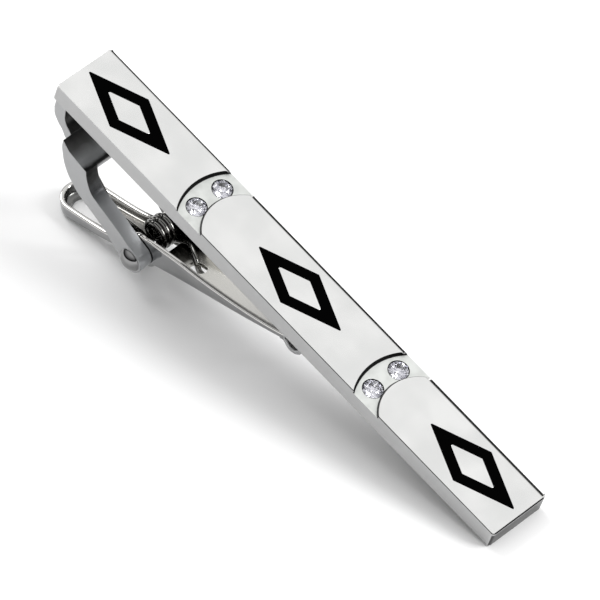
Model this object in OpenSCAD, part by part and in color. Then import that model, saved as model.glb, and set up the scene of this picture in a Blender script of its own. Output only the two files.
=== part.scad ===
// Tie bar with a sprung clip: a long bar with raised front plates, enamel
// figures and small round stones, and a riveted channel lever under its left
// end that grips cloth against the back of the bar.
// The modules are drawn in the bar's own frame (X along the bar from its left
// end, Y across, Z out of the front face, front face at Z = 0, in mm). One
// common transform then lays the closed clip down on Z = 0, resting on the
// thumb loop and on the lower edge of the bar's right end.

/* [Bar] */
// Length of the bar
bar_l = 59.6; // [56:0.2:70]
// Width of the bar
bar_w = 7.0; // [6.8:0.1:8]
// Thickness of the bar at its ends, front plates included
bar_t = 2.2; // [2.2:0.1:2.4]

/* [Front plates] */
// Height of the front plates above the bays
plate_t = 0.3; // [0.25:0.05:0.4]
// Middle of the left bay, measured along the bar
bay1_x = 16.62; // [16:0.1:17]
// Middle of the right bay, measured along the bar
bay2_x = 40.78; // [40:0.1:42]
// Length of each bay on the bar's centre line
bay_l = 2.75; // [2.6:0.05:3]
// Radius of the hollow end of each plate
hollow_r = 6.1; // [5.6:0.1:6.6]
// Radius of the rounded end of each plate
round_r = 4.4; // [4.1:0.1:4.8]

/* [Enamel] */
// Length of each enamel lozenge
loz_l = 11.4; // [10:0.1:11.6]
// Width of each enamel lozenge
loz_w = 5.0; // [4.4:0.1:5.4]
// Length of the bare window inside each lozenge
win_l = 6.0; // [5:0.1:7]

/* [Stones] */
// Diameter of each round stone
stone_d = 2.0; // [1.8:0.05:2.0]
// Distance from the bar's centre line to each stone
stone_y = 1.66; // [1.5:0.02:1.8]

/* [Clip] */
// Distance of the pivot from the bar's left end
pivot_x = 13.7; // [13.6:0.05:13.8]
// Depth of the pivot below the bar's front face
pivot_z = 12.25; // [12.25:0.05:12.35]
// Angle between the closed lever and the bar
lever_a = 24; // [23.8:0.1:24]
// Radius of the rivet's shank
shank_r = 0.55; // [0.5:0.01:0.56]
// Radius of the rivet's domed heads
head_r = 1.22; // [0.9:0.02:1.3]
// Thickness of the lever's sheet
lever_t = 0.5; // [0.45:0.05:0.55]
// Angle through which the lever opens
open_a = 28; // [5:1:28]

/* [Spring] */
// Diameter of the spring wire
wire_d = 0.56; // [0.5:0.01:0.56]
// Number of full turns in the coil
turns = 3; // [2:1:3]

/* [Hidden] */

half_w = bar_w / 2;
// the bar's two ends; its left end stands a little ahead of the bracket's strip
bar_x0 = -0.25;
bar_x1 = bar_x0 + bar_l;
stone_r = stone_d / 2;
stone1_x = bay1_x + 0.58;
stone2_x = bay2_x + 0.53;
loz_x = [6.0, 29.5, 52.9];

// Bracket: half widths of its strip and of its roof, and its sheet thickness
strip_w = 2.9;
ear_out = half_w + 0.4;
ear_in = 2.38;
sheet = ear_out - ear_in;

// Lever: its half width and the end of its thumb loop
lever_w = 2.3;
loop_end = -12.7;

// The pose that the closed clip lies in: the two resting points, the tilt
// that brings both to the ground, and the shift that centres the footprint
function flat_to_bar(p) = [pivot_x + p[0] * cos(lever_a) - p[1] * sin(lever_a),
    -pivot_z + p[0] * sin(lever_a) + p[1] * cos(lever_a)];
rest_local = [-11.9, -1.72];
rest_l = flat_to_bar(rest_local);
rest_r = [bar_x1, -bar_t];
tilt = atan2(rest_r[1] - rest_l[1], rest_r[0] - rest_l[0]);
leftmost = flat_to_bar([loop_end, -0.12]);
shift_x = -(bar_x1 * cos(tilt) + leftmost[0] * cos(tilt) + leftmost[1] * sin(tilt)) / 2;
shift_z = rest_r[0] * sin(tilt) + bar_t * cos(tilt);

module lay() translate([shift_x, 0, shift_z]) rotate([0, tilt, 0]) children();

// From the lever's own frame (origin on the pivot, X towards the jaw's tip)
// to the bar's frame
module on_pivot() translate([pivot_x, 0, -pivot_z]) rotate([0, -lever_a, 0]) children();

// A solid that stands across the bar, from a profile drawn in X and Z
module across(y0, y1) translate([0, y1, 0]) rotate([90, 0, 0])
    linear_extrude(height = y1 - y0) children();

// Smooth outline through a few knots (one span, four knots, n steps)
function span(a, b, c, d, t) = 0.5 * ((2 * b) + (c - a) * t
    + (2 * a - 5 * b + 4 * c - d) * t * t
    + (3 * b - a - 3 * c + d) * t * t * t);
function smooth(p, n) = [for (i = [0:len(p) - 2], k = [0:n - 1])
    span(p[max(i - 1, 0)], p[i], p[i + 1], p[min(i + 2, len(p) - 1)], k / n),
    for (q = [p[len(p) - 1]]) q];

// ---------------------------------------------------------------- bar
module bar_body() color([0.68, 0.68, 0.69]) lay() difference() {
    across(-half_w, half_w) polygon([
        [bar_x0, -plate_t], [bar_x1, -plate_t], [bar_x1, -bar_t],
        [bar_x0, -bar_t]]);
    for (x = [stone1_x, stone2_x], y = [-stone_y, stone_y])
        translate([x, y, 0]) stone_seat();
}

// Drilled seat for one stone: a short straight wall over a cone
module stone_seat() rotate_extrude($fn = 48) polygon([
    [0, -1.42], [0.08, -1.42], [stone_r + 0.03, -0.5],
    [stone_r + 0.03, 0], [0, 0]]);

// ------------------------------------------------------- front plates
// Blank of one plate: x0 is the apex of its rounded end and x1 the apex of
// its hollow end; an end given as round0 or hollow1 = false is square
module plate(x0, x1, round0, hollow1) difference() {
    union() {
        translate([round0 ? x0 + 1.78 : x0, -half_w, -plate_t])
            cube([x1 - x0 + (hollow1 ? 1.1 : 0) - (round0 ? 1.78 : 0), bar_w, plate_t]);
        if (round0) intersection() {
            translate([x0 + round_r, 0, -plate_t]) cylinder(r = round_r, h = plate_t, $fn = 96);
            translate([x0 - 1, -half_w, -plate_t]) cube([2.9, bar_w, plate_t]);
        }
    }
    if (hollow1) translate([x1 + hollow_r, 0, -plate_t - 1])
        cylinder(r = hollow_r, h = plate_t + 2, $fn = 128);
}

// Closed lozenge ring that the enamel fills
module lozenge(grow) polygon([[-loz_l / 2 - grow, 0], [0, -loz_w / 2 - grow / 2],
    [loz_l / 2 + grow, 0], [0, loz_w / 2 + grow / 2]]);
module window() polygon([[-win_l / 2, 0], [0, -loz_w / loz_l * win_l / 2],
    [win_l / 2, 0], [0, loz_w / loz_l * win_l / 2]]);
module ring_solid(i, z0, z1) translate([loz_x[i], 0, z0])
    linear_extrude(height = z1 - z0) difference() { lozenge(0); window(); }

plate_steel = [0.88, 0.88, 0.87];
module front_panel_left() color(plate_steel) lay() difference() {
    plate(bar_x0, bay1_x - bay_l / 2, false, true);
    ring_solid(0, -plate_t + 0.06, 1);
}
module front_panel_middle() color(plate_steel) lay() difference() {
    plate(bay1_x + bay_l / 2, bay2_x - bay_l / 2, true, true);
    ring_solid(1, -plate_t + 0.06, 1);
}
module front_panel_right() color(plate_steel) lay() difference() {
    plate(bay2_x + bay_l / 2, bar_x1, true, false);
    ring_solid(2, -plate_t + 0.06, 1);
}

enamel_black = [0.02, 0.02, 0.02];
module enamel_left() color(enamel_black) lay() ring_solid(0, -plate_t + 0.06, -0.01);
module enamel_middle() color(enamel_black) lay() ring_solid(1, -plate_t + 0.06, -0.01);
module enamel_right() color(enamel_black) lay() ring_solid(2, -plate_t + 0.06, -0.01);

// ------------------------------------------------------------- stones
// Round brilliant: eight-sided table, crown, thin girdle and pavilion
function ring8(r, z, a) = [for (k = [0:7]) [r * cos(45 * k + a), r * sin(45 * k + a), z]];
function ring16(r, z) = [for (k = [0:15]) [r * cos(22.5 * k), r * sin(22.5 * k), z]];
module brilliant() {
    r = stone_r;
    pts = concat(ring8(0.55 * r, 0, 22.5), ring16(r, -0.34), ring16(r, -0.40), [[0, 0, -1.28]]);
    top = [[7, 6, 5, 4, 3, 2, 1, 0]];
    crown = [for (k = [0:7]) each [
        [k, 8 + 2 * k + 1, 8 + 2 * k],
        [k, 8 + (2 * k + 2) % 16, 8 + 2 * k + 1],
        [k, (k + 1) % 8, 8 + (2 * k + 2) % 16]]];
    girdle = [for (k = [0:15]) [8 + k, 8 + (k + 1) % 16, 24 + (k + 1) % 16, 24 + k]];
    pavil = [for (k = [0:15]) [24 + k, 24 + (k + 1) % 16, 40]];
    polyhedron(points = pts, faces = concat(top, crown, girdle, pavil), convexity = 2);
}
module stone_at(x, y) color([0.86, 0.86, 0.93]) lay() translate([x, y, 0]) brilliant();
module crystal_left_near() stone_at(stone1_x, -stone_y);
module crystal_left_far() stone_at(stone1_x, stone_y);
module crystal_right_near() stone_at(stone2_x, -stone_y);
module crystal_right_far() stone_at(stone2_x, stone_y);

// ------------------------------------------------------------ bracket
strip_out = smooth([[-0.2, -4.1], [0.09, -4.98], [0.7, -5.62], [1.42, -6.1],
    [2.0, -6.7]], 4);
strip_in = smooth([[2.56, -5.58], [2.12, -5.25], [1.66, -4.92], [1.36, -4.4],
    [1.17, -3.3]], 4);
ear_low = smooth([[2.56, -5.8], [2.63, -6.5], [2.89, -7.2], [3.41, -8.3], [4.19, -9.3],
    [4.95, -9.9], [6.15, -10.6], [8.15, -11.15], [10.05, -11.75], [11.7, -12.65],
    [12.8, -13.4]], 4);
ear_up = smooth([[14.35, -10.98], [13.2, -10.68], [11.3, -10.02], [8.45, -9.25],
    [7.45, -8.9], [6.75, -8.2], [6.29, -7.4], [6.05, -6.7]], 4);

module hinge_bracket() color([0.66, 0.66, 0.67]) lay() difference() {
    union() {
        across(-strip_w, strip_w) polygon(concat([[-0.24, -bar_t]], strip_out,
            [[2.9, -6.9]], strip_in, [[1.16, -bar_t]]));
        across(-ear_out, ear_out) polygon([[2.56, -5.58], [3.55, -6.29], [6.05, -6.7],
            [5.83, -6.7 - sheet], [4.1, -6.4 - sheet], [2.56, -6.8]]);
        for (s = [-1, 1]) across(s > 0 ? ear_in : -ear_out, s > 0 ? ear_out : -ear_in) {
            polygon(concat([[2.56, -5.58]], ear_low, [[13.7, -12.6]], ear_up, [[3.55, -6.29]]));
            translate([pivot_x, -pivot_z]) circle(r = 1.42, $fn = 64);
        }
    }
    // the rivet's bore through both ears
    translate([pivot_x, 0, -pivot_z]) rotate([90, 0, 0])
        cylinder(r = shank_r + 0.01, h = bar_w + 2, center = true, $fn = 48);
}

// -------------------------------------------------------------- rivet
// Shank with a domed head at each end
head_h = 0.68;
dome_r = (head_r * head_r + head_h * head_h) / (2 * head_h);
module pivot_rivet() color([0.74, 0.74, 0.75]) lay() translate([pivot_x, 0, -pivot_z])
    rotate([90, 0, 0]) {
        cylinder(r = shank_r, h = 2 * ear_out, center = true, $fn = 48);
        for (m = [0, 1]) mirror([0, 0, m]) translate([0, 0, ear_out]) intersection() {
            translate([0, 0, head_h - dome_r]) sphere(r = dome_r, $fn = 64);
            cylinder(r = head_r, h = head_h + 0.01, $fn = 64);
        }
    }

// ------------------------------------------------------------- spring
// The coil sits against the far wall of the lever, eased off centre until its
// bore rests on the shank. Its forward end hooks through the floor of the jaw,
// and its rear end bears on the underside of the bracket's roof.
coil_r = 1.36;
coil_c = [pivot_x - 0.47, -pivot_z + 0.14];
pitch = wire_d + 0.04;
coil_y1 = 1.5;
coil_a0 = -46;
coil_sweep = 78 + 360 * turns;
coil_n = ceil(coil_sweep / 18);
coil_y0 = coil_y1 - pitch * coil_sweep / 360;
function on_coil(a, y) = [coil_c[0] + coil_r * cos(a), y, coil_c[1] + coil_r * sin(a)];
// forward end, from its tip under the floor back to the coil, in the lever's frame
fwd_local = [[6.0, 0.08, -1.38], [5.55, 0.08, -1.34], [5.2, 0.08, -1.12],
    [5.02, 0.1, -0.72], [4.85, 0.16, -0.3], [4.4, 0.42, 0.0], [3.5, 1.0, 0.12],
    [2.4, 1.42, -0.1]];
function lever_to_bar(p) = let (q = flat_to_bar([p[0], p[2]])) [q[0], p[1], q[1]];
coil_pts = [for (i = [0:coil_n]) on_coil(coil_a0 - coil_sweep * i / coil_n,
    coil_y1 - (coil_y1 - coil_y0) * i / coil_n)];
// rear end, from the coil up to the roof
near_tail = [[11.6, coil_y0 - 0.3, -12.68], [10.6, -1.35, -12.0], [9.4, -1.98, -11.2],
    [7.2, -2.06, -9.74], [4.95, -2.06, -8.25]];
wire_pts = concat([for (p = fwd_local) lever_to_bar(p)], coil_pts, near_tail);

// Round wire along a list of points: one ring of sides at every point
function unit(v) = v / norm(v);
function dir_at(p, i) = unit(p[min(i + 1, len(p) - 1)] - p[max(i - 1, 0)]);
function frames(p, i = 0, n = [0, 0, 1], acc = []) = i >= len(p) ? acc :
    let (t = dir_at(p, i), a = unit(n - (n * t) * t), b = cross(t, a))
    frames(p, i + 1, a, concat(acc, [[a, b]]));
module wire(p, r, sides) {
    f = frames(p, 0, unit([0.3, 0.8, 0.2]));
    n = len(p);
    pts = [for (i = [0:n - 1], k = [0:sides - 1])
        p[i] + r * (cos(360 * k / sides) * f[i][0] + sin(360 * k / sides) * f[i][1])];
    skin = [for (i = [0:n - 2], k = [0:sides - 1]) [i * sides + k, (i + 1) * sides + k,
        (i + 1) * sides + (k + 1) % sides, i * sides + (k + 1) % sides]];
    caps = [[for (k = [0:sides - 1]) k], [for (k = [sides - 1:-1:0]) (n - 1) * sides + k]];
    polyhedron(points = pts, faces = concat(skin, caps), convexity = 10);
}
module torsion_spring() color([0.25, 0.25, 0.26]) lay() wire(wire_pts, wire_d / 2, 8);

// -------------------------------------------------------------- lever
// Side outline of the pressed channel, in the lever's frame
lev_top = smooth([[-12.7, -0.12], [-10.8, -0.3], [-8.0, -0.45], [-5.5, -0.5],
    [-3.6, -0.36], [-2.5, -0.05], [-1.78, 0.45]], 4);
jaw_top = smooth([[0.2, 1.79], [2.0, 1.74], [4.95, 1.44], [8.24, 0.9], [12.9, 0.45],
    [16.5, 0.36], [18.4, 0.45]], 4);
// Underside, from the jaw back to the thumb loop
lev_low = [[19.0, -0.38], [13.1, -0.72], [6.7, -0.88], [3.0, -1.05], [-2.0, -1.46],
    [-6.0, -1.76], [-10.8, -1.85], rest_local, [-12.7, -1.35]];
function lift(p, t) = [for (q = p) [q[0], q[1] + t]];

// Plan outline, rounded at the loop
module plan(inset) {
    w = lever_w - inset;
    translate([loop_end + lever_w, 0]) circle(r = w, $fn = 96);
    translate([loop_end + lever_w, -w]) square([19.2 - loop_end - lever_w, 2 * w]);
}
module tall_plan(inset) translate([0, 0, -4]) linear_extrude(height = 8) plan(inset);

module clip_lever() color([0.78, 0.78, 0.77]) lay() on_pivot() {
    difference() {
        intersection() {
            tall_plan(0);
            across(-3, 3) {
                polygon(concat(lev_top, jaw_top, lev_low));
                circle(r = 1.85, $fn = 64);
            }
        }
        // the hollow between the walls, above the floor
        intersection() {
            tall_plan(lever_t);
            across(-3, 3) polygon(concat([[19.3, 4], [19.3, -0.38 + lever_t]],
                lift([for (i = [1:len(lev_low) - 1]) lev_low[i]], lever_t),
                [[-13, 4]]));
        }
        // long open window of the thumb loop
        translate([0, 0, -4]) linear_extrude(height = 8) {
            translate([-10.4, 0]) circle(r = 1.25, $fn = 64);
            translate([-5.2, 0]) circle(r = 1.25, $fn = 64);
            translate([-10.4, -1.25]) square([5.2, 2.5]);
        }
        // opening of the full inner width that the coil sits in
        translate([-2.5, -lever_w + lever_t, -4])
            cube([3.9, 2 * (lever_w - lever_t), 4.2]);
        // oval hole in the floor of the jaw
        translate([0, -0.2, -4]) linear_extrude(height = 5) {
            translate([4.95, 0]) circle(r = 0.62, $fn = 48);
            translate([5.85, 0]) circle(r = 0.62, $fn = 48);
            translate([4.95, -0.62]) square([0.9, 1.24]);
        }
        // running bore on the rivet
        rotate([90, 0, 0]) cylinder(r = shank_r + 0.05, h = 8, center = true, $fn = 48);
    }
    jaw_tip();
}

// Rolled lip at the jaw's tip: dips below the floor and turns up to the bar
tip_mid = smooth([[18.4, -0.13], [18.95, -0.15], [19.3, -0.52], [19.65, -0.95], [20.25, -1.05],
    [20.85, -0.77], [21.15, -0.15], [21.17, 0.65], [21.05, 1.28]], 5);
module jaw_tip() {
    h = lever_t / 2;
    n = len(tip_mid);
    t = [for (i = [0:n - 1]) unit(tip_mid[min(i + 1, n - 1)] - tip_mid[max(i - 1, 0)])];
    up = [for (i = [0:n - 1]) tip_mid[i] + h * [-t[i][1], t[i][0]]];
    dn = [for (i = [n - 1:-1:0]) tip_mid[i] - h * [-t[i][1], t[i][0]]];
    across(-lever_w, lever_w) polygon(concat(up, dn));
}

bar_body();
front_panel_left();
front_panel_middle();
front_panel_right();
enamel_left();
enamel_middle();
enamel_right();
crystal_left_near();
crystal_left_far();
crystal_right_near();
crystal_right_far();
hinge_bracket();
pivot_rivet();
torsion_spring();
clip_lever();
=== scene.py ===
import math

import bmesh
import bpy
import numpy as np
from mathutils import Matrix, Vector
from mathutils.geometry import tessellate_polygon


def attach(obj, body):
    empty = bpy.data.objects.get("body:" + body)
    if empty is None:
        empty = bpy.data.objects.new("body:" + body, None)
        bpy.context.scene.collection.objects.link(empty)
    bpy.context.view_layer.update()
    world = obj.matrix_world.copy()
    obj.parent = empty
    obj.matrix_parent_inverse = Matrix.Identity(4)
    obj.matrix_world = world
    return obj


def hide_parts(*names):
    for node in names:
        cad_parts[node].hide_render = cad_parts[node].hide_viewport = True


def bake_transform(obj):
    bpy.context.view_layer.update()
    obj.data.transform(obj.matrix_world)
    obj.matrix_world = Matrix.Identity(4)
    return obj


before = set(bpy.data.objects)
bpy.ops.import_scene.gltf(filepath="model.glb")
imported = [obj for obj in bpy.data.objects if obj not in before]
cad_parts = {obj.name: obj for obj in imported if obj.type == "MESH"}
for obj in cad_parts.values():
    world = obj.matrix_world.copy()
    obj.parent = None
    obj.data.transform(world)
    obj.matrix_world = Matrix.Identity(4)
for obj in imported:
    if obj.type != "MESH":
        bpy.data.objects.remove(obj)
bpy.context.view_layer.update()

# ------------------------------------------------------------------ dimensions (mm, bar frame)
BAR_X0, BAR_X1, HALF_W, BAR_T, PLATE_T = -0.25, 59.35, 3.5, 2.2, 0.3
BAY1, BAY2, BAY_L = 16.62, 40.78, 2.75
HOLLOW_R, ROUND_R = 6.1, 4.4
LOZ_X, LOZ_L, LOZ_W, WIN_L = (6.0, 29.5, 52.9), 11.4, 5.0, 6.0
STONE_R, STONE_Y = 1.0, 1.66
STONE_X = (BAY1 + 0.58, BAY2 + 0.53)
PX, PZ, LEVER_A = 13.7, -12.25, math.radians(24)
EAR_OUT, EAR_IN, STRIP_W = 3.9, 2.38, 2.9
LEVER_W, LEVER_T, LOOP_END = 2.3, 0.5, -12.7
WIRE_R = 0.28


def flat_to_bar(u, v):
    return (PX + u * math.cos(LEVER_A) - v * math.sin(LEVER_A),
            PZ + u * math.sin(LEVER_A) + v * math.cos(LEVER_A))


_rl, _rr = flat_to_bar(-11.9, -1.72), (BAR_X1, -BAR_T)
TILT = math.atan2(_rr[1] - _rl[1], _rr[0] - _rl[0])
_lm = flat_to_bar(LOOP_END, -0.12)
SHIFT_X = -(BAR_X1 * math.cos(TILT) + _lm[0] * math.cos(TILT) + _lm[1] * math.sin(TILT)) / 2
SHIFT_Z = BAR_X1 * math.sin(TILT) + BAR_T * math.cos(TILT)
# bar frame in mm to the row frame in metres
LAY = Matrix.Scale(0.001, 4) @ Matrix.Translation((SHIFT_X, 0, SHIFT_Z)) @ Matrix.Rotation(TILT, 4, "Y")
# lever frame (origin on the pivot) in mm to the bar frame
ON_PIVOT = Matrix.Translation((PX, 0, PZ)) @ Matrix.Rotation(-LEVER_A, 4, "Y")
LEV = LAY @ ON_PIVOT


# ------------------------------------------------------------------ mesh helpers
def smooth(p, n):
    """Catmull-Rom outline through the knots, n steps to a span."""
    p = np.array(p, float)
    out = []
    for i in range(len(p) - 1):
        a, b, c, d = p[max(i - 1, 0)], p[i], p[i + 1], p[min(i + 2, len(p) - 1)]
        for k in range(n):
            t = k / n
            out.append(0.5 * (2 * b + (c - a) * t + (2 * a - 5 * b + 4 * c - d) * t * t
                              + (3 * b - a - 3 * c + d) * t ** 3))
    out.append(p[-1])
    return np.array(out)


def area(p):
    x, y = p[:, 0], p[:, 1]
    return 0.5 * float(np.sum(x * np.roll(y, -1) - y * np.roll(x, -1)))


def ccw(p):
    p = np.array(p, float)
    return p if area(p) > 0 else p[::-1].copy()


def inset(p, d):
    """Moves a loop to its left by d: inward for an outline, outward for a hole given clockwise."""
    if abs(d) < 1e-9:
        return p.copy()
    a, c = np.roll(p, 1, 0), np.roll(p, -1, 0)
    e1, e2 = p - a, c - p
    e1 /= np.linalg.norm(e1, axis=1)[:, None]
    e2 /= np.linalg.norm(e2, axis=1)[:, None]
    n1 = np.stack([-e1[:, 1], e1[:, 0]], 1)
    n2 = np.stack([-e2[:, 1], e2[:, 0]], 1)
    m = n1 + n2
    m /= np.linalg.norm(m, axis=1)[:, None]
    return p + m * (d / np.maximum((m * n1).sum(1), 0.35))[:, None]


def fillet(p, r, steps=5, only=None):
    """Rounds the corners of a polygon (indices in only, or all) with radius r."""
    p = np.array(p, float)
    n = len(p)
    out = []
    for i in range(n):
        if only is not None and i not in only:
            out.append(p[i])
            continue
        a, b, c = p[i - 1], p[i], p[(i + 1) % n]
        u, w = (a - b) / np.linalg.norm(a - b), (c - b) / np.linalg.norm(c - b)
        half = math.acos(max(-1, min(1, float(u @ w)))) / 2
        rr = r if not isinstance(r, dict) else r[i]
        t = min(rr / math.tan(half), 0.45 * np.linalg.norm(a - b), 0.45 * np.linalg.norm(c - b))
        rr = t * math.tan(half)
        mid = (u + w) / np.linalg.norm(u + w)
        o = b + mid * (rr / math.sin(half))
        s, e = b + u * t - o, b + w * t - o
        a0 = math.atan2(s[1], s[0])
        da = math.atan2(s[0] * e[1] - s[1] * e[0], float(s @ e))
        for k in range(steps + 1):
            g = a0 + da * k / steps
            out.append(o + rr * np.array([math.cos(g), math.sin(g)]))
    return np.array(out)


def add_prism(bm, loops, lo, hi, r_lo=0.0, r_hi=0.0, seg=4, axis="z", hole_rim=0.35, adjust=None):
    """Closed slab from an outline and holes, with rounded rims at both faces; adjust reshapes the outline's rings."""
    loops = [ccw(loops[0])] + [ccw(h)[::-1].copy() for h in loops[1:]]
    prof = []
    if r_lo > 0:
        prof += [(r_lo * (1 - math.cos(t)), lo + r_lo * (1 - math.sin(t)))
                 for t in [math.pi / 2 * (1 - k / seg) for k in range(seg + 1)]]
    else:
        prof += [(0, lo)]
    if r_hi > 0:
        prof += [(r_hi * (1 - math.cos(t)), hi - r_hi * (1 - math.sin(t)))
                 for t in [math.pi / 2 * k / seg for k in range(seg + 1)]]
    else:
        prof += [(0, hi)]

    def put(q, h):
        return bm.verts.new((q[0], q[1], h) if axis == "z" else (q[0], h, q[1]))

    faces, ends = [], ([], [])
    for li, loop in enumerate(loops):
        rings = []
        for k, (d, h) in enumerate(prof):
            q = inset(loop, d if li == 0 else d * hole_rim)
            hs = np.full(len(q), h)
            if adjust and li == 0:
                q, hs = adjust(q, hs, k)
            rings.append([put(v, z) for v, z in zip(q, hs)])
        for a, b in zip(rings, rings[1:]):
            for i in range(len(a)):
                j = (i + 1) % len(a)
                faces.append(bm.faces.new((a[i], a[j], b[j], b[i])))
        ends[0].append(rings[0])
        ends[1].append(rings[-1])
    for end, rev in ((ends[0], True), (ends[1], False)):
        flat = [v for r in end for v in r]
        tri = tessellate_polygon([[v.co for v in r] for r in end])
        for t in tri:
            vs = [flat[i] for i in t]
            try:
                faces.append(bm.faces.new(vs))
            except ValueError:
                pass
    bmesh.ops.recalc_face_normals(bm, faces=faces)
    return faces


def lathe(bm, prof, n, centre=(0, 0, 0), along="z"):
    """Turned solid: prof is [(radius, height)], closed by points at radius 0."""
    rings = []
    for r, h in prof:
        if r < 1e-6:
            rings.append([(0.0, 0.0, h)])
        else:
            rings.append([(r * math.cos(2 * math.pi * k / n), r * math.sin(2 * math.pi * k / n), h)
                          for k in range(n)])

    def conv(c):
        x, y, z = c
        if along == "y":
            x, y, z = x, z, -y
        return bm.verts.new((x + centre[0], y + centre[1], z + centre[2]))

    vs = [[conv(c) for c in r] for r in rings]
    faces = []
    for a, b in zip(vs, vs[1:]):
        for i in range(n):
            j = (i + 1) % n
            q = [a[i % len(a)], a[j % len(a)], b[j % len(b)], b[i % len(b)]]
            q = [v for k, v in enumerate(q) if v not in q[:k]]
            if len(q) > 2:
                faces.append(bm.faces.new(q))
    bmesh.ops.recalc_face_normals(bm, faces=faces)
    return faces


def to_object(name, bm, mat, matrix=LAY, sharp=38):
    me = bpy.data.meshes.new(name)
    bm.to_mesh(me)
    bm.free()
    me.transform(matrix)
    ob = bpy.data.objects.new(name, me)
    bpy.context.scene.collection.objects.link(ob)
    if mat is not None:
        me.materials.append(mat)
    shade(ob, sharp)
    return ob


def shade(ob, sharp=38):
    """Smooth shading with creases."""
    me = ob.data
    me.polygons.foreach_set("use_smooth", [True] * len(me.polygons))
    me.set_sharp_from_angle(angle=math.radians(sharp))


def flatten(ob, axis, least=0.9995, matrix=LAY):
    """Faces square to an axis of the bar frame are shaded flat, so that the rims round into them cleanly."""
    n = (matrix.to_3x3() @ Vector(axis)).normalized()
    for p in ob.data.polygons:
        if abs(p.normal.dot(n)) > least:
            p.use_smooth = False


def bake(ob):
    """Applies every modifier."""
    bpy.context.view_layer.update()
    dg = bpy.context.evaluated_depsgraph_get()
    me = bpy.data.meshes.new_from_object(ob.evaluated_get(dg), preserve_all_data_layers=True, depsgraph=dg)
    old = ob.data
    ob.modifiers.clear()
    ob.data = me
    bpy.data.meshes.remove(old)
    return ob


def boolean(ob, other, op):
    m = ob.modifiers.new("b", "BOOLEAN")
    m.operation, m.object, m.solver = op, other, "EXACT"
    bake(ob)
    bpy.data.objects.remove(other, do_unlink=True)


def plain_object(name, bm):
    """Unshaded working solid in mm, no material."""
    me = bpy.data.meshes.new(name)
    bm.to_mesh(me)
    bm.free()
    ob = bpy.data.objects.new(name, me)
    bpy.context.scene.collection.objects.link(ob)
    return ob


def bevel(ob, width, segments=3, angle=42):
    m = ob.modifiers.new("bv", "BEVEL")
    m.width, m.segments, m.limit_method, m.angle_limit = width, segments, "ANGLE", math.radians(angle)
    m.use_clamp_overlap = True
    m.miter_outer = "MITER_ARC"
    bake(ob)


# ------------------------------------------------------------------ materials
def material(name, color, rough, metallic=1.0, **more):
    m = bpy.data.materials.new(name)
    m.use_nodes = True
    b = m.node_tree.nodes["Principled BSDF"]
    b.inputs["Base Color"].default_value = (*color, 1)
    b.inputs["Roughness"].default_value = rough
    b.inputs["Metallic"].default_value = metallic
    for k, v in more.items():
        b.inputs[k.replace("_", " ")].default_value = v
    return m


def cloud(m, scale, c0, c1, r0, r1, detail=3.0, bump=0.0, bump_scale=None, stretch=(1, 1, 1)):
    """Faint cloudy change of tone and gloss over the surface."""
    nt = m.node_tree
    b = nt.nodes["Principled BSDF"]
    tc = nt.nodes.new("ShaderNodeTexCoord")
    mp = nt.nodes.new("ShaderNodeMapping")
    mp.inputs["Scale"].default_value = stretch
    nz = nt.nodes.new("ShaderNodeTexNoise")
    nz.inputs["Scale"].default_value = scale
    nz.inputs["Detail"].default_value = detail
    nt.links.new(tc.outputs["Object"], mp.inputs["Vector"])
    nt.links.new(mp.outputs["Vector"], nz.inputs["Vector"])
    cr = nt.nodes.new("ShaderNodeValToRGB")
    cr.color_ramp.elements[0].position, cr.color_ramp.elements[1].position = 0.35, 0.65
    cr.color_ramp.elements[0].color, cr.color_ramp.elements[1].color = (*c0, 1), (*c1, 1)
    nt.links.new(nz.outputs["Fac"], cr.inputs["Fac"])
    nt.links.new(cr.outputs["Color"], b.inputs["Base Color"])
    mr = nt.nodes.new("ShaderNodeMapRange")
    mr.inputs["From Min"].default_value, mr.inputs["From Max"].default_value = 0.35, 0.65
    mr.inputs["To Min"].default_value, mr.inputs["To Max"].default_value = r0, r1
    nt.links.new(nz.outputs["Fac"], mr.inputs["Value"])
    nt.links.new(mr.outputs["Result"], b.inputs["Roughness"])
    if bump:
        n2 = nt.nodes.new("ShaderNodeTexNoise")
        n2.inputs["Scale"].default_value = bump_scale
        n2.inputs["Detail"].default_value = 4
        nt.links.new(mp.outputs["Vector"], n2.inputs["Vector"])
        bp = nt.nodes.new("ShaderNodeBump")
        bp.inputs["Strength"].default_value = 1.0
        bp.inputs["Distance"].default_value = bump
        nt.links.new(n2.outputs["Fac"], bp.inputs["Height"])
        nt.links.new(bp.outputs["Normal"], b.inputs["Normal"])
    return m


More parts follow.
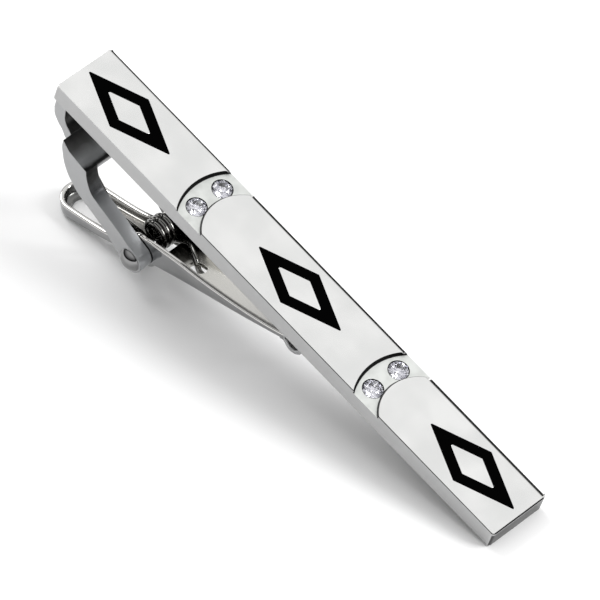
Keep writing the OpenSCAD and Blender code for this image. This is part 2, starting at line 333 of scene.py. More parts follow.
def along_x(m, stops, noise=0.0, scale=1500, rough=None):
    """Painted shade and reflection: a tone that changes along the row's X axis (stops: metres, grey), broken up a
    little by noise.
    """
    nt = m.node_tree
    b = nt.nodes["Principled BSDF"]
    tc = nt.nodes.new("ShaderNodeTexCoord")
    sp = nt.nodes.new("ShaderNodeSeparateXYZ")
    nt.links.new(tc.outputs["Object"], sp.inputs["Vector"])
    x0, x1 = stops[0][0], stops[-1][0]
    mr = nt.nodes.new("ShaderNodeMapRange")
    mr.inputs["From Min"].default_value, mr.inputs["From Max"].default_value = x0, x1
    nt.links.new(sp.outputs["X"], mr.inputs["Value"])
    out = mr.outputs["Result"]
    if noise:
        nz = nt.nodes.new("ShaderNodeTexNoise")
        nz.inputs["Scale"].default_value = scale
        nz.inputs["Detail"].default_value = 2
        nt.links.new(tc.outputs["Object"], nz.inputs["Vector"])
        ma = nt.nodes.new("ShaderNodeMath")
        ma.operation = "MULTIPLY_ADD"
        ma.inputs[1].default_value = noise
        nt.links.new(nz.outputs["Fac"], ma.inputs[0])
        nt.links.new(out, ma.inputs[2])
        mb = nt.nodes.new("ShaderNodeMath")
        mb.operation = "SUBTRACT"
        mb.inputs[1].default_value = noise / 2
        nt.links.new(ma.outputs[0], mb.inputs[0])
        out = mb.outputs[0]
    cr = nt.nodes.new("ShaderNodeValToRGB")
    el = cr.color_ramp.elements
    while len(el) > 1:
        el.remove(el[-1])
    for k, (x, g) in enumerate(stops):
        e = el[0] if k == 0 else el.new((x - x0) / (x1 - x0))
        e.position = (x - x0) / (x1 - x0)
        e.color = (g[0], g[1], g[2], 1) if isinstance(g, tuple) else (g, g, g, 1)
    nt.links.new(out, cr.inputs["Fac"])
    nt.links.new(cr.outputs["Color"], b.inputs["Base Color"])
    return m


M_PLATE = cloud(material("polished_plate", (0.9, 0.9, 0.89), 0.2), 260,
                (0.89, 0.895, 0.885), (0.94, 0.94, 0.93), 0.16, 0.26)
M_SIDE = cloud(material("satin_side", (0.5, 0.5, 0.5), 0.42), 900,
               (0.45, 0.452, 0.452), (0.475, 0.475, 0.475), 0.42, 0.48)
M_BAY = cloud(material("matte_bay", (0.7, 0.72, 0.69), 0.5), 1200,
              (0.64, 0.655, 0.635), (0.67, 0.684, 0.665), 0.42, 0.52)
# painted shade: the bar's underside, which lies in shade, is made near black
M_BACK_PAINTED_SHADE = cloud(material("underside_painted_shade", (0.2, 0.2, 0.2), 0.3), 700,
               (0.10, 0.102, 0.10), (0.13, 0.13, 0.125), 0.26, 0.36)
# painted shade: near-black paint on the stone seats' walls, the hollow ends' steps and the strip at their foot; also
# a painted dark reflection on the plates' near edge and the right end's rim
M_DARK_PAINTED_SHADE = material("painted_shade_dark_edge", (0.006, 0.006, 0.006), 0.4, metallic=0.0)
M_DARK_PAINTED_SHADE.node_tree.nodes["Principled BSDF"].inputs["Specular IOR Level"].default_value = 0.1
# painted shade on the bar's right end face
M_END_PAINTED_SHADE = material("end_face_painted_shade", (0.055, 0.055, 0.055), 0.3)
M_EDGE = material("polished_edge", (0.80, 0.80, 0.79), 0.05)
# painted shade on the rounded ends' steps and on the dark strip round them
M_STEP_PAINTED_SHADE = material("painted_shade_step", (0.055, 0.055, 0.055), 0.4, metallic=0.0)
M_STEP_PAINTED_SHADE.node_tree.nodes["Principled BSDF"].inputs["Specular IOR Level"].default_value = 0.2
M_BRACKET = cloud(material("satin_bracket", (0.5, 0.5, 0.5), 0.34), 800,
                  (0.40, 0.405, 0.41), (0.43, 0.433, 0.436), 0.34, 0.42)
# painted shade and reflection on the bracket's roof, strip and edges, set by position along X: near black under the
# bar, lighter further on
M_BAND_PAINTED_SHADE = along_x(material("bracket_band_painted_shade_and_reflection", (0.3, 0.3, 0.3), 0.34, metallic=0.45),
                 [(-0.0285, 0.02), (-0.0262, 0.02), (-0.0252, 0.14), (-0.0242, (0.42, 0.43, 0.44)),
                  (-0.0237, (0.36, 0.37, 0.38)), (-0.02335, 0.01), (-0.0229, 0.02), (-0.0221, (0.18, 0.186, 0.194)),
                  (-0.0210, (0.42, 0.43, 0.445)), (-0.0190, (0.46, 0.472, 0.485)), (-0.0155, (0.46, 0.472, 0.485))],
                 noise=0.05, scale=900)
M_LEVER = cloud(material("polished_lever", (0.4, 0.4, 0.4), 0.1), 300,
                (0.30, 0.302, 0.305), (0.36, 0.36, 0.36), 0.09, 0.16,
                bump=0.000012, bump_scale=600)
# painted highlight: the lever's rim is a lighter copy of its chrome
M_RIM_PAINTED_HIGHLIGHT = material("lever_rim_painted_highlight", (0.72, 0.71, 0.69), 0.08)
# painted shade and reflection inside the lever, set by position along X: dark by the coil, bright cream on the jaw's
# floor
M_TRAY_PAINTED_LIGHT_SHADE = along_x(material("lever_inside_painted_shade_and_reflection", (0.5, 0.5, 0.5), 0.2),
                 [(-0.0305, (0.10, 0.10, 0.10)), (-0.0270, (0.30, 0.30, 0.29)), (-0.0225, (0.42, 0.41, 0.39)),
                  (-0.0185, (0.06, 0.06, 0.055)), (-0.0137, (0.05, 0.048, 0.043)),
                  (-0.0125, (0.70, 0.69, 0.65)), (0.0035, (0.90, 0.89, 0.86))], noise=0.07, scale=1100)
M_SPRING = material("spring_wire", (0.20, 0.198, 0.19), 0.10)
M_RIVET = material("rivet_dome", (0.27, 0.27, 0.27), 0.06)
M_ENAMEL = material("black_enamel", (0.0008, 0.0008, 0.0008), 0.15, metallic=0.0)
M_ENAMEL.node_tree.nodes["Principled BSDF"].inputs["Specular IOR Level"].default_value = 0.004
M_GLASS = material("stone_glass", (0.99, 0.99, 1.0), 0.0, metallic=0.0)
M_GLASS.node_tree.nodes["Principled BSDF"].inputs["Transmission Weight"].default_value = 1.0
M_GLASS.node_tree.nodes["Principled BSDF"].inputs["IOR"].default_value = 1.8
M_FOIL = material("stone_foil", (0.97, 0.97, 1.0), 0.0)
M_FOIL_SHADE = material("stone_foil_shade", (0.42, 0.42, 0.46), 0.05)

SC = bpy.context.scene

# ------------------------------------------------------------------ bar core
bm = bmesh.new()
outline = fillet([(BAR_X0, -HALF_W), (BAR_X1, -HALF_W), (BAR_X1, HALF_W), (BAR_X0, HALF_W)],
                 {0: 0.2, 1: 0.35, 2: 0.45, 3: 0.35}, 6)
add_prism(bm, [outline], -BAR_T, -PLATE_T, r_lo=0.18, r_hi=0.0, seg=5)
bar = plain_object("bar_core", bm)
for sx in STONE_X:
    for sy in (-STONE_Y, STONE_Y):
        bm = bmesh.new()
        lathe(bm, [(0, -1.42), (0.08, -1.42), (STONE_R + 0.03, -0.5), (STONE_R + 0.03, -PLATE_T - 0.03),
                   (STONE_R + 0.06, -PLATE_T), (STONE_R + 0.06, 0.4), (0, 0.4)], 64, (sx, sy, 0))
        boolean(bar, plain_object("cut", bm), "DIFFERENCE")
bar.data.transform(LAY)
bar.data.materials.clear()
bar.data.materials.append(M_SIDE)
bar.data.materials.append(M_BAY)
bar.data.materials.append(M_BACK_PAINTED_SHADE)
bar.data.materials.append(M_DARK_PAINTED_SHADE)
bar.data.materials.append(M_END_PAINTED_SHADE)
up = Vector((math.sin(TILT), 0, math.cos(TILT)))
fwd_dir = Vector((math.cos(TILT), 0, -math.sin(TILT)))
inv = LAY.inverted()
# painted shade: the underside (2), the right end face (4) and the walls of the stone seats (3) take dark paint
for p in bar.data.polygons:
    c = inv @ p.center
    z = p.normal.dot(up)
    p.material_index = 0
    if z > 0.9 and abs(c.z + PLATE_T) < 0.02:
        p.material_index = 1
    elif z < -0.9:
        p.material_index = 2
    elif p.normal.dot(fwd_dir) > 0.5 and c.x > BAR_X1 - 0.3:
        p.material_index = 4
    elif abs(c.y) < 3.2 and -1.5 < c.z < -PLATE_T + 0.001 and 10 < c.x < 50:
        p.material_index = 3
shade(bar, 38)
flatten(bar, (0, 0, 1))
flatten(bar, (0, 1, 0))
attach(bar, "frame")
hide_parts("bar_body")


# ------------------------------------------------------------------ front plates and enamel
def lozenge(i, l, w, r):
    pts = [(-l / 2, 0), (0, -w / 2), (l / 2, 0), (0, w / 2)]
    return fillet(pts, r, 5) + np.array([LOZ_X[i], 0.0])


def plate_outline(x0, x1, rounded, hollow):
    pts = []
    if hollow:
        k = math.asin(HALF_W / HOLLOW_R)
        arc = [(x1 + HOLLOW_R - HOLLOW_R * math.cos(a), HOLLOW_R * math.sin(a))
               for a in np.linspace(-k, k, 57)]
        pts += arc
    else:
        pts += fillet([(x1, -HALF_W), (x1, HALF_W), (x1 - 3, HALF_W), (x1 - 3, -HALF_W)], {0: 0.35, 1: 0.45}, 6,
                      only=(0, 1)).tolist()[:-2]
    if rounded:
        k = math.asin(HALF_W / ROUND_R)
        pts += [(x0 + ROUND_R - ROUND_R * math.cos(a), ROUND_R * math.sin(a))
                for a in np.linspace(k, -k, 57)]
    else:
        pts += fillet([(x0, HALF_W), (x0, -HALF_W), (x0 + 3, -HALF_W), (x0 + 3, HALF_W)], {0: 0.35, 1: 0.2}, 6,
                      only=(0, 1)).tolist()[:-2]
    return np.array(pts)


PLATES = [("left", BAR_X0, BAY1 - BAY_L / 2, False, True),
          ("middle", BAY1 + BAY_L / 2, BAY2 - BAY_L / 2, True, True),
          ("right", BAY2 + BAY_L / 2, BAR_X1, True, False)]
for i, (side, x0, x1, ro, ho) in enumerate(PLATES):
    bm = bmesh.new()
    hole = lozenge(i, LOZ_L, LOZ_W, 0.10)
    win = lozenge(i, WIN_L, LOZ_W / LOZ_L * WIN_L, 0.14)
    wide = {"left": 0.25, "middle": 0.34, "right": 0.41}[side]
    slope = math.tan(math.radians(31))
    deep = 0.022 + slope * (wide - 0.02)
    far_rim = [(0.0, -deep - 0.03), (0.02, -deep), (wide, -0.022), (wide + 0.05, -0.008), (wide + 0.11, 0.0)]

    near_rim = [(0.0, -0.120), (0.004, -0.105), (0.055, -0.016), (0.062, -0.005), (0.07, 0.0)]
    end_rim = [(0.0, -0.14), (0.008, -0.12), (0.09, -0.02), (0.10, -0.006), (0.11, 0.0)]

    def roll_off(q, hs, k):         # polished bevel along the far edge; rounded rims along the near edge and the right end, which take a painted dark reflection further down
        if k == 0:
            return q, hs
        q, hs = q.copy(), hs.copy()
        if side == "right":
            off, z = end_rim[k - 1]
            at = q[:, 0] > x1 - off - 1e-6
            q[at, 0] = x1 - off
            hs[at] = z
        if side != "left":
            off, z = near_rim[k - 1]
            at = q[:, 1] < -HALF_W + off + 1e-6
            q[at, 1] = -HALF_W + off
            hs[at] = np.minimum(hs[at], z) if side == "right" else z
        off, z = far_rim[k - 1]
        at = q[:, 1] > HALF_W - off - 1e-6
        q[at, 1] = HALF_W - off
        hs[at] = z
        return q, hs

    add_prism(bm, [plate_outline(x0, x1, ro, ho), hole], -PLATE_T, 0, r_hi=0.055, seg=4, adjust=roll_off)
    add_prism(bm, [win], -PLATE_T, 0, r_hi=0.02, seg=3)
    if ho:                          # dark strip at the foot of the hollow end's step: painted shade
        k = math.asin((HALF_W - 0.02) / HOLLOW_R)
        arcs = [(x1 + HOLLOW_R - r * math.cos(t), HOLLOW_R * math.sin(t))
                for r, ts in ((HOLLOW_R + 0.02, np.linspace(-k, k, 49)), (HOLLOW_R - 0.20, np.linspace(k, -k, 49)))
                for t in ts]
        add_prism(bm, [np.array(arcs)], -PLATE_T - 0.03, -PLATE_T + 0.012)
    if ro:                          # dark strip round the rounded end: painted shade line
        k = math.asin((HALF_W - 0.02) / ROUND_R)
        arcs = [(x0 + ROUND_R - r * math.cos(t), ROUND_R * math.sin(t))
                for r, ts in ((ROUND_R - 0.02, np.linspace(k, -k, 49)), (ROUND_R + 0.15, np.linspace(-k, k, 49)))
                for t in ts]
        add_prism(bm, [np.array(arcs)], -PLATE_T - 0.03, -PLATE_T + 0.012)
    ob = to_object("front_plate_" + side, bm, M_PLATE)
    for extra in (M_SIDE, M_DARK_PAINTED_SHADE, M_STEP_PAINTED_SHADE, M_END_PAINTED_SHADE, M_EDGE):
        ob.data.materials.append(extra)
    # painted shade on the strips and steps at the plates' ends; painted dark reflection along the near edge and on
    # the right end's rim; the far edge's bevel is plain polished metal
    for p in ob.data.polygons:
        c, nn = inv @ p.center, (inv.to_3x3() @ p.normal).normalized()
        at_end = side == "right" and c.x > BAR_X1 - 0.6
        if abs(c.x - LOZ_X[i]) < LOZ_L / 2 + 0.3 and abs(c.y) < 3:
            continue
        if -PLATE_T < c.z < -PLATE_T + 0.02:
            p.material_index = 2 if ho and c.x > x1 - 0.5 else 3
        elif nn.z > 0.9999:
            continue
        elif c.y > HALF_W - wide - 0.11 and nn.z > 0.05 and abs(nn.x) < 0.3:
            p.material_index = 5
        elif side != "left" and c.y < -HALF_W + 0.066 and nn.z > 0.05:
            p.material_index = 2
        elif at_end and nn.z > 0.05:
            p.material_index = 2
        elif nn.x > 0.08 and ho:
            p.material_index = 2
        elif nn.x < -0.12 and ro:
            p.material_index = 3
        elif nn.z < 0.05:
            p.material_index = 1
    flatten(ob, (0, 0, 1))
    flatten(ob, (0, 1, 0))
    flatten(ob, (0, math.sin(math.radians(31)), math.cos(math.radians(31))))
    flatten(ob, (0, -math.sin(math.radians(60)), math.cos(math.radians(60))), 0.999)
    flatten(ob, (math.sin(math.radians(45)), 0, math.cos(math.radians(45))), 0.999)
    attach(ob, "frame")
    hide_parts("front_panel_" + side)

    bm = bmesh.new()
    add_prism(bm, [inset(ccw(hole), 0.004), inset(ccw(win)[::-1].copy(), 0.004)], -PLATE_T + 0.06, -0.012,
              r_hi=0.02, seg=3)
    ob = to_object("enamel_fill_" + side, bm, M_ENAMEL)
    flatten(ob, (0, 0, 1))
    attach(ob, "frame")
    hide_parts("enamel_" + side)


# ------------------------------------------------------------------ stones
def brilliant(bm, cx, cy, turn):
    r, hc, hg, hp = STONE_R - 0.005, 0.34, 0.05, 0.88

    def v(rad, deg, z):
        a = math.radians(deg + turn)
        return bm.verts.new((cx + rad * math.cos(a), cy + rad * math.sin(a), z))

    zc, zg = -hc, -hc - hg
    zs = -hc * (0.775 * math.cos(math.pi / 8) - 0.55) / 0.45
    zl = zg - hp + hp * 0.25 * math.cos(math.pi / 8)
    T = [v(0.55 * r, 45 * k, 0) for k in range(8)]
    S = [v(0.775 * r, 45 * k + 22.5, zs) for k in range(8)]
    G = [v(r, 22.5 * k, zc) for k in range(16)]
    H = [v(r, 22.5 * k, zg) for k in range(16)]
    L = [v(0.25 * r, 45 * k + 22.5, zl) for k in range(8)]
    C = v(0, 0, zg - hp)
    crown, pav, dark = [bm.faces.new(T)], [], []
    for k in range(8):
        n = (k + 1) % 8
        crown.append(bm.faces.new((T[k], S[k], T[n])))
        crown.append(bm.faces.new((T[k], S[k - 1], G[2 * k], S[k])))
        crown.append(bm.faces.new((S[k], G[2 * k], G[2 * k + 1])))
        crown.append(bm.faces.new((S[k], G[2 * k + 1], G[(2 * k + 2) % 16])))
        pav.append(bm.faces.new((C, L[k], H[2 * k], L[k - 1])))
        lower = [bm.faces.new((L[k], H[2 * k + 1], H[2 * k])),
                 bm.faces.new((L[k], H[(2 * k + 2) % 16], H[2 * k + 1]))]
        dark.append(lower[(k * 5 // 3) % 2])
        pav += lower
    for k in range(16):
        n = (k + 1) % 16
        crown.append(bm.faces.new((G[k], H[k], H[n], G[n])))
    for f in pav:
        f.material_index = 1
    for f in dark:
        f.material_index = 2
    bmesh.ops.recalc_face_normals(bm, faces=crown + pav)


for key, sx, sy, turn in (("left_near", STONE_X[0], -STONE_Y, 8), ("left_far", STONE_X[0], STONE_Y, 31),
                          ("right_near", STONE_X[1], -STONE_Y, 17), ("right_far", STONE_X[1], STONE_Y, 3)):
    bm = bmesh.new()
    brilliant(bm, sx, sy, turn)
    me = bpy.data.meshes.new("stone_" + key)
    bm.to_mesh(me)
    bm.free()
    me.transform(LAY)
    ob = bpy.data.objects.new("stone_" + key, me)
    SC.collection.objects.link(ob)
    me.materials.append(M_GLASS)
    me.materials.append(M_FOIL)
    me.materials.append(M_FOIL_SHADE)
    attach(ob, "frame")
    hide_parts("crystal_" + key)

# ------------------------------------------------------------------ bracket
strip_out = smooth([[-0.2, -4.1], [0.09, -4.98], [0.7, -5.62], [1.42, -6.1], [2.0, -6.7]], 8)
strip_in = smooth([[2.56, -5.58], [2.12, -5.25], [1.66, -4.92], [1.36, -4.4], [1.17, -3.3]], 8)
ear_low = smooth([[2.56, -5.8], [2.63, -6.5], [2.89, -7.2], [3.41, -8.3], [4.19, -9.3],
                  [4.95, -9.9], [6.15, -10.6], [8.15, -11.15], [10.05, -11.75], [11.7, -12.65],
                  [12.72, -13.28]], 8)
ear_up = smooth([[14.35, -10.98], [13.2, -10.68], [11.3, -10.02], [8.45, -9.25],
                 [7.45, -8.9], [6.75, -8.2], [6.29, -7.4], [6.05, -6.7]], 8)
arc = [(PX + 1.42 * math.cos(a), PZ + 1.42 * math.sin(a))
       for a in np.linspace(math.radians(-132), math.radians(64), 60)]
ear = np.array([(2.56, -5.6)] + ear_low.tolist()[1:-1] + arc + ear_up.tolist()[1:] + [(3.55, -6.29)])
sheet = EAR_OUT - EAR_IN
roof = [(2.56, -5.6), (3.55, -6.29), (6.05, -6.7), (5.83, -6.7 - sheet), (4.1, -6.4 - sheet), (2.6, -6.75)]
strip = np.array([(-0.24, -BAR_T - 0.0)] + strip_out.tolist() + [(2.9, -6.9)] + strip_in.tolist()
                 + [(1.16, -BAR_T - 0.0)])

bm = bmesh.new()
add_prism(bm, [ear], -EAR_OUT, -EAR_IN, r_lo=0.06, r_hi=0.03, seg=4, axis="y")
brk = plain_object("bracket_sheet", bm)
bm = bmesh.new()
add_prism(bm, [ear], EAR_IN, EAR_OUT, r_lo=0.03, r_hi=0.06, seg=4, axis="y")
boolean(brk, plain_object("cut", bm), "UNION")
bm = bmesh.new()
add_prism(bm, [fillet(roof, 0.16, 5, only=(2, 3))], -EAR_IN - 0.05, EAR_IN + 0.05, axis="y")
boolean(brk, plain_object("cut", bm), "UNION")
bm = bmesh.new()
add_prism(bm, [strip], -STRIP_W, STRIP_W, r_lo=0.08, r_hi=0.08, seg=4, axis="y")
boolean(brk, plain_object("cut", bm), "UNION")
brk.data.transform(LAY)
brk.data.materials.append(M_BRACKET)
brk.data.materials.append(M_BAND_PAINTED_SHADE)
for p in brk.data.polygons:
    p.material_index = 0 if abs(p.normal.y) > 0.5 else 1
shade(brk, 38)
flatten(brk, (0, 1, 0))
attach(brk, "frame")
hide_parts("hinge_bracket")

# ------------------------------------------------------------------ rivet
bm = bmesh.new()
HR, HH = 1.22, 0.68
DR = (HR * HR + HH * HH) / (2 * HH)
dome = []
for t in np.linspace(math.asin(HR / DR), 0, 30):
    dome.append((DR * math.sin(t), EAR_OUT + HH - DR + DR * math.cos(t)))
lip = [(HR - 0.03, EAR_OUT), (HR, EAR_OUT + 0.03)]
half = [(0.55, 0.0), (0.55, EAR_OUT)] + lip + [(r, h) for r, h in dome if h > EAR_OUT + 0.05]
prof = [(r, -h) for r, h in reversed(half[1:])] + half
prof[0] = (0, -EAR_OUT - HH)
prof[-1] = (0, EAR_OUT + HH)
lathe(bm, prof, 128, (PX, 0, PZ), along="y")
ob = to_object("rivet_with_domes", bm, M_RIVET)
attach(ob, "frame")
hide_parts("pivot_rivet")

# ------------------------------------------------------------------ lever: a pressed tray on the pivot
lev_top = smooth([[-12.7, -0.12], [-10.8, -0.3], [-8.0, -0.45], [-5.5, -0.5],
                  [-3.6, -0.36], [-2.5, -0.05], [-1.78, 0.45]], 8)
jaw_top = smooth([[0.2, 1.79], [2.0, 1.74], [4.95, 1.44], [8.24, 0.9], [12.9, 0.45],
                  [16.5, 0.36], [18.4, 0.45], [19.3, 0.5]], 8)
_tp = np.array(lev_top.tolist() + jaw_top.tolist())
_lw = smooth([[19.3, -0.37], [19.0, -0.38], [13.1, -0.72], [6.7, -0.88], [3.0, -1.05], [-2.0, -1.46],
              [-6.0, -1.76], [-10.8, -1.85], [-11.9, -1.72], [-12.7, -1.35]], 8)[::-1]


def z_low(u):
    return float(np.interp(u, _lw[:, 0], _lw[:, 1]))


def z_top(u):
    z = float(np.interp(u, _tp[:, 0], _tp[:, 1]))
    if abs(u) < 1.84:
        z = max(z, math.sqrt(1.85 ** 2 - u * u))
    return z


def z_wall_low(u):
    z = z_low(u)
    if abs(u) < 1.84:
        z = min(z, -math.sqrt(1.85 ** 2 - u * u))
    return z


U = sorted(set(np.round(np.concatenate([np.arange(-10.4, 19.21, 0.32), np.linspace(-1.85, 1.85, 41),
                                        [19.2]]), 4)), reverse=True)
U = [u for i, u in enumerate(U) if i == 0 or U[i - 1] - u > 0.02]
NA = 56
UC = LOOP_END + LEVER_W
path = [("s", u, -1) for u in U if u > UC + 1e-6] + [("a", a, 0) for a in np.linspace(-math.pi / 2, -3 * math.pi / 2, NA)] \
    + [("s", u, 1) for u in reversed(U) if u > UC + 1e-6]
RIM, RB, RI = 0.17, 0.42, 0.22
prof = []
for t in np.linspace(0, 90, 5):     # inner floor corner up to the inner wall
    q = math.radians(90 - t)
    prof.append((LEVER_T + RI * (1 - math.cos(q)), "floor", RI * (1 - math.sin(q))))
for t in np.linspace(0, 90, 5):     # rim, inner half
    q = math.radians(t)
    prof.append((LEVER_T - RIM * (1 - math.cos(q)), "top", -RIM * (1 - math.sin(q))))
for t in np.linspace(90, 0, 5):     # rim, outer half
    q = math.radians(t)
    prof.append((RIM * (1 - math.cos(q)), "top", -RIM * (1 - math.sin(q))))
for t in np.linspace(0, 90, 6):     # outer wall to the underside
    q = math.radians(t)
    prof.append((RB * (1 - math.cos(q)), "low", RB * (1 - math.sin(q))))

bm = bmesh.new()
rings = []
for d, kind, off in prof:
    ring = []
    for k, a, s in path:
        if k == "s":
            x, y = a, s * (LEVER_W - d)
        else:
            x, y = UC + (LEVER_W - d) * math.cos(a), (LEVER_W - d) * math.sin(a)
        if kind == "top":
            z = z_top(x) + off
        elif kind == "floor":
            z = z_low(x) + LEVER_T + off
        else:
            z = z_wall_low(x) + off
        ring.append(bm.verts.new((x, y, z)))
    rings.append(ring)
n = len(path)
for a, b in zip(rings, rings[1:]):
    for i in range(n - 1):
        bm.faces.new((a[i], a[i + 1], b[i + 1], b[i]))
for ring in (rings[0], rings[-1]):
    for i in range(n // 2):
        j = n - 1 - i
        if j - i >= 3:
            bm.faces.new((ring[i], ring[i + 1], ring[j - 1], ring[j]))
        elif j - i == 2:
            bm.faces.new((ring[i], ring[i + 1], ring[j]))
bm.faces.new([r[0] for r in rings] + [r[-1] for r in reversed(rings)])
bmesh.ops.recalc_face_normals(bm, faces=bm.faces[:])
lev = plain_object("clip_lever_pressed", bm)


def stadium(u0, u1, y, r, steps=24):
    return [(u1 + r * math.cos(a), y + r * math.sin(a)) for a in np.linspace(-math.pi / 2, math.pi / 2, steps)] + \
        [(u0 + r * math.cos(a), y + r * math.sin(a)) for a in np.linspace(math.pi / 2, 3 * math.pi / 2, steps)]


cuts = [stadium(-10.4, -5.2, 0, 1.25), fillet([(-2.5, -1.74), (1.4, -1.74), (1.4, 1.74), (-2.5, 1.74)], 0.3, 5),
        stadium(4.95, 5.85, -0.2, 0.62)]
for c in cuts:
    bm = bmesh.new()
    add_prism(bm, [np.array(c)], -4, 0.15 if len(c) < 40 else -0.0)
    boolean(lev, plain_object("cut", bm), "DIFFERENCE")
# rolled lip at the jaw's tip
tip_mid = smooth([[18.4, -0.13], [18.95, -0.15], [19.3, -0.52], [19.65, -0.95], [20.25, -1.05],
                  [20.85, -0.77], [21.15, -0.15], [21.17, 0.65], [21.05, 1.28]], 6)
tan = np.gradient(tip_mid, axis=0)
tan /= np.linalg.norm(tan, axis=1)[:, None]
nor = np.stack([-tan[:, 1], tan[:, 0]], 1) * (LEVER_T / 2)
end = [tip_mid[-1] + nor[-1] * math.cos(a) + tan[-1] * (LEVER_T / 2) * math.sin(a)
       for a in np.linspace(0, math.pi, 9)[1:-1]]
tip = np.array((tip_mid + nor).tolist() + [e.tolist() for e in end] + (tip_mid - nor)[::-1].tolist())
bm = bmesh.new()
add_prism(bm, [tip], -LEVER_W, LEVER_W, r_lo=0.16, r_hi=0.16, seg=4, axis="y")
boolean(lev, plain_object("cut", bm), "UNION")
bevel(lev, 0.05, 2, 50)
lev.data.transform(LEV)
lev.data.materials.clear()
lev.data.materials.append(M_LEVER)
lev.data.materials.append(M_RIM_PAINTED_HIGHLIGHT)
lev.data.materials.append(M_TRAY_PAINTED_LIGHT_SHADE)
lev.data.materials.append(M_BRACKET)
linv = LEV.inverted()
# index 1 paints the rim's highlight, index 2 paints shade and reflection inside the lever
for p in lev.data.polygons:
    c = linv @ p.center
    nn = (linv.to_3x3() @ p.normal).normalized()
    edge = LEVER_W - (math.hypot(c.x - UC, c.y) if c.x < UC else abs(c.y))     # distance in from the outer wall
    # painted light: the rolled tip of the chrome sheet takes the lighter satin bracket material
    if c.x > 19.0:
        p.material_index = 3
    elif c.z > z_top(c.x) - RIM - 0.02 and edge < LEVER_T + 0.02:
        p.material_index = 1
    elif edge > LEVER_T - 0.06 and c.z > z_low(c.x) + 0.1:
        p.material_index = 2
    else:
        p.material_index = 0
shade(lev, 40)
for p in lev.data.polygons:
    nn = (linv.to_3x3() @ p.normal).normalized()
    if abs(nn.z) > 0.93 and p.area > 1.5e-8:
        p.use_smooth = False
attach(lev, "lever")
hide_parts("clip_lever")

# ------------------------------------------------------------------ torsion spring
CR, CC, PITCH, Y1, TURNS = 1.36, (PX - 0.47, PZ + 0.14), 0.60, 1.5, 3
SWEEP = 78 + 360 * TURNS
Y0 = Y1 - PITCH * SWEEP / 360
fwd = [[6.0, 0.08, -1.38], [5.55, 0.08, -1.34], [5.2, 0.08, -1.12], [5.02, 0.1, -0.72], [4.85, 0.16, -0.3],
       [4.4, 0.42, 0.0], [3.5, 1.0, 0.12], [2.4, 1.42, -0.1]]
knots = []
for u, y, v in fwd:
    x, z = flat_to_bar(u, v)
    knots.append((x, y, z))
for i in range(65):
    a = math.radians(-46 - SWEEP * i / 64)
    knots.append((CC[0] + CR * math.cos(a), Y1 - (Y1 - Y0) * i / 64, CC[1] + CR * math.sin(a)))
knots += [(11.6, Y0 - 0.3, -12.68), (10.6, -1.35, -12.0), (9.4, -1.98, -11.2), (7.2, -2.06, -9.74), (4.95, -2.06, -8.25)]
line = smooth(knots, 6)
bm = bmesh.new()
SIDES = 20
tangent = np.gradient(line, axis=0)
tangent /= np.linalg.norm(tangent, axis=1)[:, None]
nrm = np.array([0.3, 0.8, 0.2])
rings = []
spots = [(0, 0.35, -0.28 * 0.9), (0, 0.8, -0.28 * 0.45)] + [(i, 1.0, 0) for i in range(len(line))] \
    + [(-1, 0.8, 0.28 * 0.45), (-1, 0.35, 0.28 * 0.9)]
for i, s, e in spots:
    t = tangent[i]
    nrm = nrm - (nrm @ t) * t
    nrm /= np.linalg.norm(nrm)
    bi = np.cross(t, nrm)
    c = line[i] + t * (e * 0.6)
    rings.append([bm.verts.new(c + WIRE_R * s * (math.cos(2 * math.pi * k / SIDES) * nrm
                                                 + math.sin(2 * math.pi * k / SIDES) * bi)) for k in range(SIDES)])
for a, b in zip(rings, rings[1:]):
    for k in range(SIDES):
        bm.faces.new((a[k], a[(k + 1) % SIDES], b[(k + 1) % SIDES], b[k]))
bm.faces.new(rings[0][::-1])
bm.faces.new(rings[-1])
bmesh.ops.recalc_face_normals(bm, faces=bm.faces[:])
spring = to_object("torsion_spring_wire", bm, M_SPRING)
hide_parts("torsion_spring")
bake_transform(spring)

# ------------------------------------------------------------------ floor, light, camera
bpy.ops.mesh.primitive_plane_add(size=6, location=(0, 0, -0.00006))
floor = bpy.context.object
floor.name = "floor"
fm = material("floor_white", (0.92, 0.92, 0.92), 0.9, metallic=0.0)
fm.node_tree.nodes["Principled BSDF"].inputs["Specular IOR Level"].default_value = 0.0
floor.data.materials.append(fm)


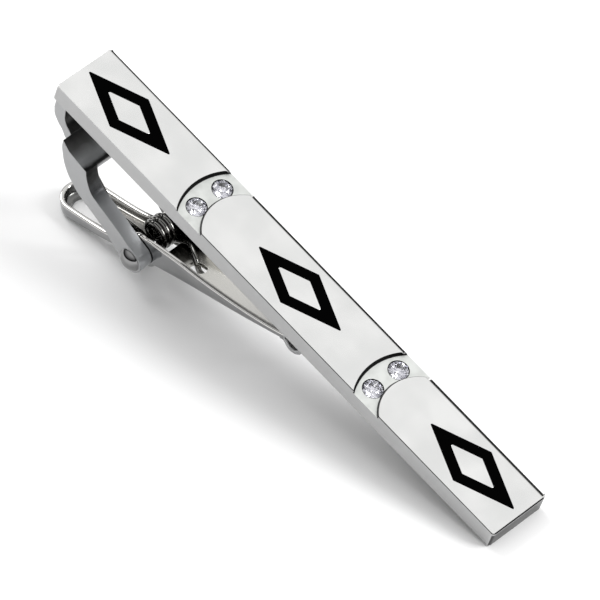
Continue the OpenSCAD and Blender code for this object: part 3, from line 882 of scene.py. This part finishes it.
def area_light(name, where, size, power, target=(0, 0, 0.006), color=(1, 1, 1)):
    d = bpy.data.lights.new(name, "AREA")
    d.shape, d.size, d.size_y, d.energy, d.color = "RECTANGLE", size[0], size[1], power, color
    o = bpy.data.objects.new(name, d)
    o.location = where
    o.rotation_mode = "QUATERNION"
    o.rotation_quaternion = (Vector(target) - Vector(where)).to_track_quat("-Z", "Y")
    SC.collection.objects.link(o)
    return o


area_light("key_a", (0.33, 0.30, 0.36), (0.09, 0.30), 1.05)
area_light("key_b", (0.39, 0.18, 0.36), (0.09, 0.30), 1.05)
area_light("fill", (-0.34, 0.05, 0.34), (0.2, 0.3), 0.95)

world = bpy.data.worlds.new("studio")
SC.world = world
world.use_nodes = True
wn = world.node_tree
bg = wn.nodes["Background"]
tc = wn.nodes.new("ShaderNodeTexCoord")
sp = wn.nodes.new("ShaderNodeSeparateXYZ")
rp = wn.nodes.new("ShaderNodeValToRGB")
wn.links.new(tc.outputs["Generated"], sp.inputs["Vector"])
wn.links.new(sp.outputs["Z"], rp.inputs["Fac"])
rp.color_ramp.elements[0].position, rp.color_ramp.elements[0].color = 0.15, (0.03, 0.03, 0.03, 1)
rp.color_ramp.elements[1].position, rp.color_ramp.elements[1].color = 0.60, (0.85, 0.85, 0.85, 1)
wn.links.new(rp.outputs["Color"], bg.inputs["Color"])
bg.inputs["Strength"].default_value = 1.0

cam_d = bpy.data.cameras.new("camera")
cam_d.lens, cam_d.sensor_width = 500, 36
cam = bpy.data.objects.new("camera", cam_d)
SC.collection.objects.link(cam)
lay3 = Matrix.Rotation(TILT, 3, "Y")
back = (lay3 @ Vector((0.2591, -0.4884, 0.8329))).normalized()
right = lay3 @ Vector((0.6725, 0.7102, 0.2072))
right = (right - back * right.dot(back)).normalized()
upv = back.cross(right)
aim = LAY @ Vector((28.70, 2.38, -5.49))
m = Matrix((right, upv, back)).transposed().to_4x4()
m.translation = aim + back * 0.7723
cam.matrix_world = m
cam_d.clip_start, cam_d.clip_end = 0.05, 20
SC.camera = cam
SC.view_settings.view_transform = "Standard"
SC.view_settings.look = "None"
